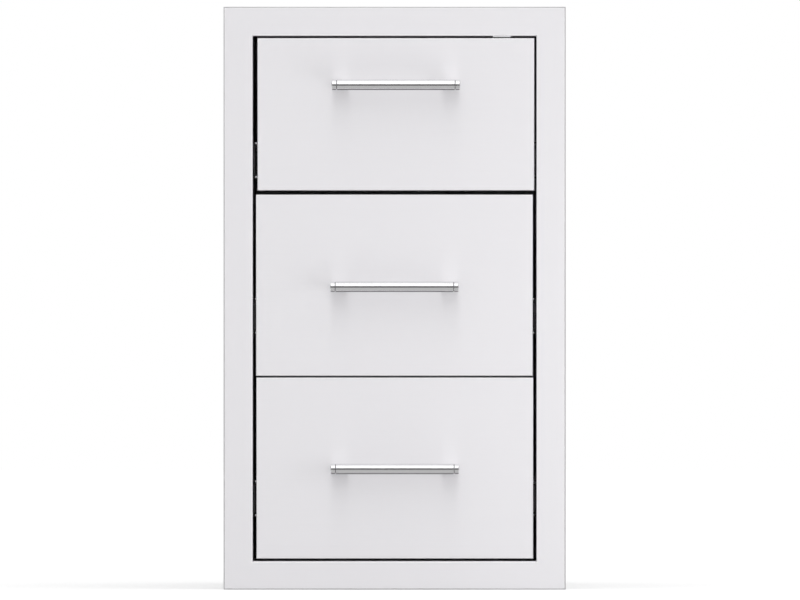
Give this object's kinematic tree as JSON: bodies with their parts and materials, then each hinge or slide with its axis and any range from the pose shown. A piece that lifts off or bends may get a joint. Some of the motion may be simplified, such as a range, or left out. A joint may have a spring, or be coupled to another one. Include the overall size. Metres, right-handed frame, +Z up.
{
  "type": "outdoor kitchen drawer unit",
  "caption": "Built-in stainless drawer unit for an outdoor kitchen: a raised trim frame round a closed cabinet, with stacked drawers on full-extension ball slides and round bar handles.",
  "frame": {"origin": "where the island's face meets the sill of the cut-out, half way across: the back plane of the trim frame and the underside of the cabinet's bottom panel", "axes": "+X across the fronts to the viewer's right, +Y from the fronts into the island, +Z up"},
  "size_m": [0.432, 0.5522, 0.736],
  "materials": {
    "trim_frame": "brushed stainless steel, grain along each side of the frame",
    "front_skin": "brushed stainless steel, grain across the front",
    "panel_sheet": "plain mill-finish stainless sheet",
    "tray_sheet": "plain mill-finish stainless sheet",
    "handle": "satin stainless steel",
    "slide_rail": "zinc-plated rolled steel",
    "ball_cage": "plated thin steel strip",
    "screw": "plain stainless screws",
    "rubber": "matt moulded black rubber",
    "gap_pad": "light grey moulded pad"
  },
  "bodies": {
    "cabinet": {"face_frame": "trim_frame", "left_side_panel": "panel_sheet", "right_side_panel": "panel_sheet", "top_panel": "panel_sheet", "bottom_panel": "panel_sheet", "back_panel": "panel_sheet", "gap_pad": "gap_pad", "rail_buffers": "rubber", "top_left_outer_rail": "slide_rail", "top_right_outer_rail": "slide_rail", "middle_left_outer_rail": "slide_rail", "middle_right_outer_rail": "slide_rail", "bottom_left_outer_rail": "slide_rail", "bottom_right_outer_rail": "slide_rail"},
    "top_drawer": {"top_front_pan": "front_skin", "top_front_liner": "panel_sheet", "top_tray": "tray_sheet", "top_tray_back": "tray_sheet", "top_screws": "screw", "top_handle_bar": "handle", "top_handle_caps": "handle", "top_handle_posts": "handle", "top_left_inner_rail": "slide_rail", "top_right_inner_rail": "slide_rail"},
    "top_middle_rails": {"top_left_middle_rail": "slide_rail", "top_right_middle_rail": "slide_rail"},
    "top_outer_cage_pair": {"top_outer_cages": "ball_cage"},
    "top_inner_cage_pair": {"top_inner_cages": "ball_cage"},
    "middle_drawer": {"middle_front_pan": "front_skin", "middle_front_liner": "panel_sheet", "middle_tray": "tray_sheet", "middle_tray_back": "tray_sheet", "middle_screws": "screw", "middle_handle_bar": "handle", "middle_handle_caps": "handle", "middle_handle_posts": "handle", "middle_left_inner_rail": "slide_rail", "middle_right_inner_rail": "slide_rail"},
    "middle_middle_rails": {"middle_left_middle_rail": "slide_rail", "middle_right_middle_rail": "slide_rail"},
    "middle_outer_cage_pair": {"middle_outer_cages": "ball_cage"},
    "middle_inner_cage_pair": {"middle_inner_cages": "ball_cage"},
    "bottom_drawer": {"bottom_front_pan": "front_skin", "bottom_front_liner": "panel_sheet", "bottom_tray": "tray_sheet", "bottom_tray_back": "tray_sheet", "bottom_screws": "screw", "bottom_handle_bar": "handle", "bottom_handle_caps": "handle", "bottom_handle_posts": "handle", "bottom_left_inner_rail": "slide_rail", "bottom_right_inner_rail": "slide_rail"},
    "bottom_middle_rails": {"bottom_left_middle_rail": "slide_rail", "bottom_right_middle_rail": "slide_rail"},
    "bottom_outer_cage_pair": {"bottom_outer_cages": "ball_cage"},
    "bottom_inner_cage_pair": {"bottom_inner_cages": "ball_cage"}
  },
  "joints": [
    {"name": "top_drawer_slide", "type": "slide", "parent": "cabinet", "child": "top_drawer", "axis": [0, -1, 0], "range_m": [0, 0.45]},
    {"name": "top_middle_rail_slide", "type": "slide", "parent": "cabinet", "child": "top_middle_rails", "axis": [0, -1, 0], "range_m": [0, 0.225]},
    {"name": "top_outer_cage_roll", "type": "slide", "parent": "cabinet", "child": "top_outer_cage_pair", "axis": [0, -1, 0], "range_m": [0, 0.1125]},
    {"name": "top_inner_cage_roll", "type": "slide", "parent": "cabinet", "child": "top_inner_cage_pair", "axis": [0, -1, 0], "range_m": [0, 0.3375]},
    {"name": "middle_drawer_slide", "type": "slide", "parent": "cabinet", "child": "middle_drawer", "axis": [0, -1, 0], "range_m": [0, 0.45]},
    {"name": "middle_middle_rail_slide", "type": "slide", "parent": "cabinet", "child": "middle_middle_rails", "axis": [0, -1, 0], "range_m": [0, 0.225]},
    {"name": "middle_outer_cage_roll", "type": "slide", "parent": "cabinet", "child": "middle_outer_cage_pair", "axis": [0, -1, 0], "range_m": [0, 0.1125]},
    {"name": "middle_inner_cage_roll", "type": "slide", "parent": "cabinet", "child": "middle_inner_cage_pair", "axis": [0, -1, 0], "range_m": [0, 0.3375]},
    {"name": "bottom_drawer_slide", "type": "slide", "parent": "cabinet", "child": "bottom_drawer", "axis": [0, -1, 0], "range_m": [0, 0.45]},
    {"name": "bottom_middle_rail_slide", "type": "slide", "parent": "cabinet", "child": "bottom_middle_rails", "axis": [0, -1, 0], "range_m": [0, 0.225]},
    {"name": "bottom_outer_cage_roll", "type": "slide", "parent": "cabinet", "child": "bottom_outer_cage_pair", "axis": [0, -1, 0], "range_m": [0, 0.1125]},
    {"name": "bottom_inner_cage_roll", "type": "slide", "parent": "cabinet", "child": "bottom_inner_cage_pair", "axis": [0, -1, 0], "range_m": [0, 0.3375]}
  ],
  "couplings": [
    {"joint": "top_middle_rail_slide", "follows": "top_drawer_slide", "ratio": 0.5},
    {"joint": "top_outer_cage_roll", "follows": "top_drawer_slide", "ratio": 0.25},
    {"joint": "top_inner_cage_roll", "follows": "top_drawer_slide", "ratio": 0.75},
    {"joint": "middle_middle_rail_slide", "follows": "middle_drawer_slide", "ratio": 0.5},
    {"joint": "middle_outer_cage_roll", "follows": "middle_drawer_slide", "ratio": 0.25},
    {"joint": "middle_inner_cage_roll", "follows": "middle_drawer_slide", "ratio": 0.75},
    {"joint": "bottom_middle_rail_slide", "follows": "bottom_drawer_slide", "ratio": 0.5},
    {"joint": "bottom_outer_cage_roll", "follows": "bottom_drawer_slide", "ratio": 0.25},
    {"joint": "bottom_inner_cage_roll", "follows": "bottom_drawer_slide", "ratio": 0.75}
  ]
}
